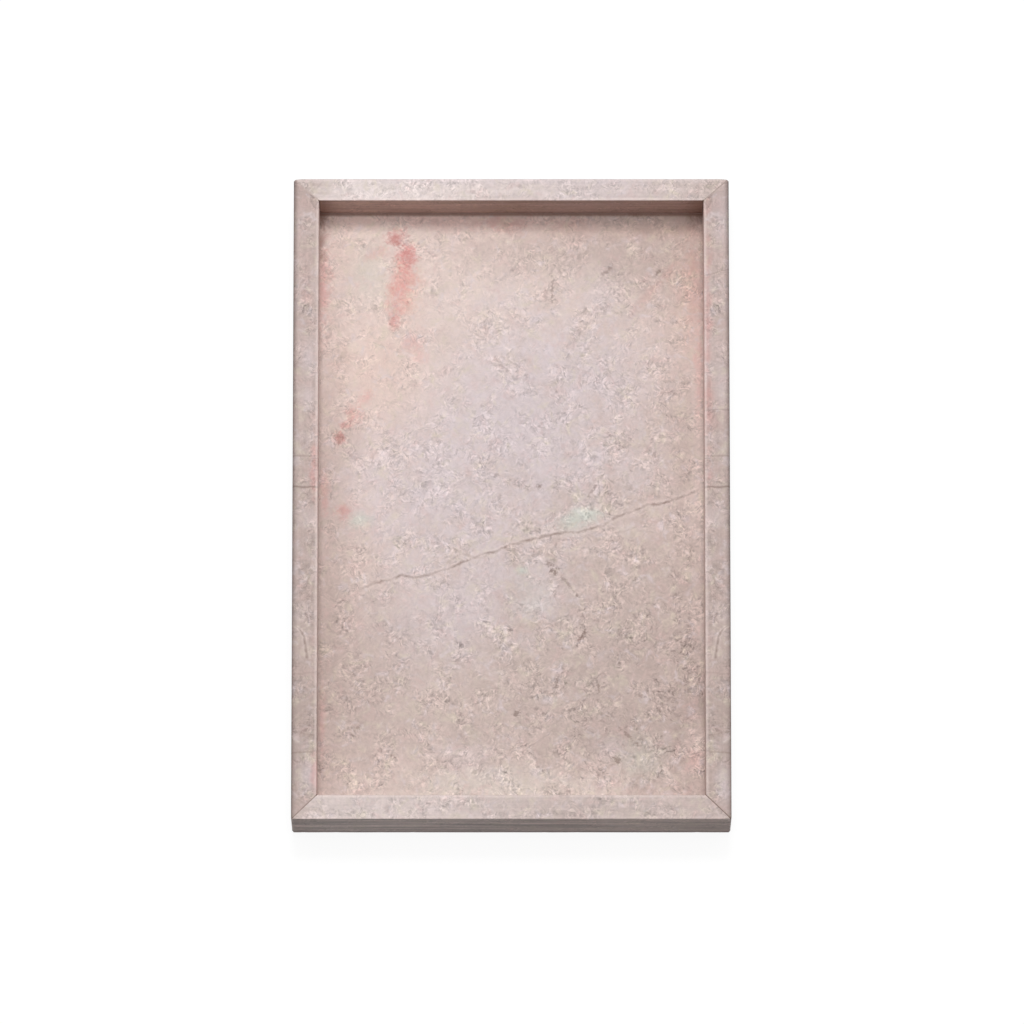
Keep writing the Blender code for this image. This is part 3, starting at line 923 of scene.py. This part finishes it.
def bed_grid(sizes, rail):
    """The bed's L-shaped section carried along a rail, from mitre to mitre."""
    skirt, shoulder = rebate(sizes, rail)
    gap = sizes.seat_gap
    width = RAIL_WIDTHS[rail]
    slab_edge = skirt + sizes.bed_joint
    bottom = STONE_BOTTOM + sizes.joint_recess
    corners = ((skirt + gap, bottom), (skirt + gap, shoulder - gap), (width, shoulder - gap),
               (width, SLAB_HIGH.z + gap), (slab_edge - gap, SLAB_HIGH.z + gap), (slab_edge - gap, bottom))
    share = np.linspace(-1, 1, BED_STATIONS)
    radii = np.full((len(share), len(corners)), sizes.bed_joint / 8)
    outline = rounded_outline(corners, radii)
    inset, height = outline[..., 0], outline[..., 1]
    return placed(rail, inset, run_to_mitres(sizes, rail, share, inset), height)


def mitre_grid(sizes, end, side):
    """The resin of one mitre: the rails' section on the mitre plane, given the joint's thickness.

    A point with inset u on the side rail lies at the outer corner plus u times the mitre's direction,
    and the plate's faces lie half a joint to each side, along the plane's normal.
    """
    easing = sizes.side_easing_front if end == "front" else sizes.side_easing_back
    skirt, shoulder = rebate(sizes, side)
    recess = sizes.joint_recess
    corners = ((recess, STONE_BOTTOM + recess), (recess, STONE_TOP - recess),
               (SIDE_RAIL_WIDTH - recess, STONE_TOP - recess), (SIDE_RAIL_WIDTH - recess, shoulder),
               (skirt, shoulder), (skirt, STONE_BOTTOM + recess))
    share = np.array([-1.0, 0.0, 1.0])
    radii = (sizes.lower_arris, easing, sizes.inner_arris, *[sizes.sawn_edge] * 3)
    outline = rounded_outline(corners, np.tile(radii, (len(share), 1)))
    inset, height = outline[..., 0], outline[..., 1]
    slope = RAIL_WIDTHS[end] / SIDE_RAIL_WIDTH
    run = HALF_LENGTH - inset * slope
    inset, run = rounded_corner(inset, run, HALF_LENGTH, sizes.corner_radius)
    normal = np.array([slope, -1]) / math.hypot(slope, 1)
    offset = share[:, None] * sizes.mitre_joint / 2
    x = SIDES[side] * (HALF_WIDTH - inset + normal[0] * offset)
    y = ENDS[end] * (run + normal[1] * offset)
    return np.stack([x, y, height], axis=-1)


def dress_node(node, material):
    """Gives a CAD node its material and leaves its mesh alone."""
    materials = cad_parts[node].data.materials
    materials.clear()
    materials.append(material)


class TRAY_OT_slab(bpy.types.Operator):
    """Gives the floor slab its marble"""
    bl_idname = "tray.slab"
    bl_label = "Slab"

    def execute(self, context):
        dress_node("base_slab", slab_material(context.scene.tray_colours))
        return {"FINISHED"}


class TRAY_OT_rails(bpy.types.Operator):
    """Makes the four mitred rails"""
    bl_idname = "tray.rails"
    bl_label = "Rails"

    def execute(self, context):
        scene = context.scene
        side_marble = side_rail_material(scene.tray_colours)
        for rail in (*SIDES, *ENDS):
            grid = rail_grid(scene.tray_sizes, rail)
            marble = side_marble if rail in SIDES else end_rail_material(scene.tray_colours, rail)
            add_piece(rail + "_rail_stone", grid, marble, "rail_" + rail)
        return {"FINISHED"}


class TRAY_OT_resin(bpy.types.Operator):
    """Fills the mitres and beds the slab in resin"""
    bl_idname = "tray.resin"
    bl_label = "Resin joints"

    def execute(self, context):
        scene = context.scene
        resin = resin_material(scene.tray_colours)
        for rail in (*SIDES, *ENDS):
            grid = bed_grid(scene.tray_sizes, rail)
            add_piece(rail + "_bed", grid, resin, "bed_resin_" + rail)
        for end, side in CORNERS:
            grid = mitre_grid(scene.tray_sizes, end, side)
            corner = end + "_" + side
            add_piece(corner + "_mitre", grid, resin, "mitre_resin_" + corner)
        return {"FINISHED"}


class TRAY_OT_feet(bpy.types.Operator):
    """Gives the four feet their silicone"""
    bl_idname = "tray.feet"
    bl_label = "Feet"

    def execute(self, context):
        silicone = foot_material(context.scene.tray_colours)
        for end, side in CORNERS:
            dress_node("foot_" + end + "_" + side, silicone)
        return {"FINISHED"}


# The camera looks a little off the tray's middle, as the photograph is framed
AIM = Vector((0.00034, 0.0002, STONE_BOTTOM))
UPRIGHT = math.pi / 2
KEY_DISTANCE = 3.5
BOX_SIZE = (1.8, 1.2)
BOX_DISTANCE = 1.2
GROUND_REACH = 3.0
GROUND_LEVEL = -0.1 * MILLIMETRE


def pale_ground_material():
    """Pale ground that looks white and keeps a faint shadow, and sends back less light than it shows."""
    recipe = new_recipe("pale_ground")
    plain = {"Roughness": 0.9, "Specular IOR Level": 0.0}
    lit = {**plain, "Base Color": (0.36, 0.35, 0.34)}
    shown = {**plain, "Base Color": (0.14, 0.14, 0.14), "Emission Color": (1, 1, 1), "Emission Strength": 0.9}
    inputs = {0: recipe.looked_at(), 1: recipe.principled(lit), 2: recipe.principled(shown)}
    return recipe.finish(recipe.add("MixShader", {}, inputs))


def white_world(sky):
    """An even dim sky that looks white to the camera and in reflections."""
    recipe = Recipe(bpy.data.worlds.new("studio"))
    even = recipe.add("Background", {}, {"Color": (1, 1, 1), "Strength": sky})
    white = recipe.add("Background", {}, {"Color": (1, 1, 1), "Strength": 1.0})
    mixed = recipe.add("MixShader", {}, {0: recipe.looked_at(), 1: even, 2: white})
    return recipe.finish(mixed, "OutputWorld")


def look_from(obj, target, distance, elevation, azimuth=0.0):
    """Puts an object at a distance from a target and turns its -Z towards it."""
    level = math.cos(elevation)
    back = Vector((math.sin(azimuth) * level, -math.cos(azimuth) * level, math.sin(elevation)))
    obj.location = target + back * distance
    obj.rotation_euler = (-back).to_track_quat("-Z", "Y").to_euler()


def add_lamp(name, power, width, depth, distance, elevation, azimuth=0.0):
    """A soft box that faces the tray and isn't seen itself."""
    light = bpy.data.lights.new(name, "AREA")
    light.energy = power
    light.shape = "RECTANGLE"
    light.size = width
    light.size_y = depth
    lamp = bpy.data.objects.new(name, light)
    bpy.context.scene.collection.objects.link(lamp)
    lamp.visible_camera = False
    look_from(lamp, AIM, distance, elevation, azimuth)


class TRAY_OT_stage(bpy.types.Operator):
    """Sets up the camera, the lamps and the pale ground"""
    bl_idname = "tray.stage"
    bl_label = "Stage"

    def execute(self, context):
        scene = context.scene
        stage = scene.tray_stage
        scene.view_settings.view_transform = "Standard"
        scene.world = white_world(stage.sky)
        camera = bpy.data.objects.new("camera", bpy.data.cameras.new("camera"))
        scene.collection.objects.link(camera)
        camera.data.sensor_width = 36
        camera.data.lens = stage.lens
        camera.data.clip_end = 100
        look_from(camera, AIM, stage.distance, stage.elevation)
        scene.camera = camera
        key_size = stage.key_size
        add_lamp("key", stage.key_power, key_size, key_size, KEY_DISTANCE, UPRIGHT - stage.key_lean, math.pi)
        add_lamp("box", stage.box_power, *BOX_SIZE, BOX_DISTANCE, UPRIGHT)
        ground_mesh = bpy.data.meshes.new("ground")
        corners = np.array([(-1, -1), (1, -1), (1, 1), (-1, 1)]) * GROUND_REACH
        ground_mesh.from_pydata([(*corner, GROUND_LEVEL) for corner in corners], [], [(0, 1, 2, 3)])
        ground = bpy.data.objects.new("ground", ground_mesh)
        scene.collection.objects.link(ground)
        ground.data.materials.append(pale_ground_material())
        return {"FINISHED"}


class TRAY_PT_panel(bpy.types.Panel):
    """Lists the tray's operators, sizes and colours"""
    bl_idname = "TRAY_PT_panel"
    bl_label = "Marble tray"
    bl_space_type = "VIEW_3D"
    bl_region_type = "UI"
    bl_category = "Tray"

    def draw(self, context):
        for operator in OPERATORS:
            self.layout.operator(operator.bl_idname)
        for group in (context.scene.tray_sizes, context.scene.tray_colours, context.scene.tray_stage):
            for name in group.__annotations__:
                self.layout.prop(group, name)


OPERATORS = (TRAY_OT_slab, TRAY_OT_rails, TRAY_OT_resin, TRAY_OT_feet, TRAY_OT_stage)
GROUPS = {"tray_sizes": TraySizes, "tray_colours": TrayColours, "tray_stage": StageSettings}


def register():
    for cls in (*GROUPS.values(), *OPERATORS, TRAY_PT_panel):
        bpy.utils.register_class(cls)
    for name, group in GROUPS.items():
        setattr(bpy.types.Scene, name, PointerProperty(type=group))


def unregister():
    for name in GROUPS:
        delattr(bpy.types.Scene, name)
    for cls in reversed((*GROUPS.values(), *OPERATORS, TRAY_PT_panel)):
        bpy.utils.unregister_class(cls)


def main():
    register()
    bpy.ops.tray.slab()
    bpy.ops.tray.rails()
    bpy.ops.tray.resin()
    bpy.ops.tray.feet()
    bpy.ops.tray.stage()


if __name__ == "__main__":
    main()
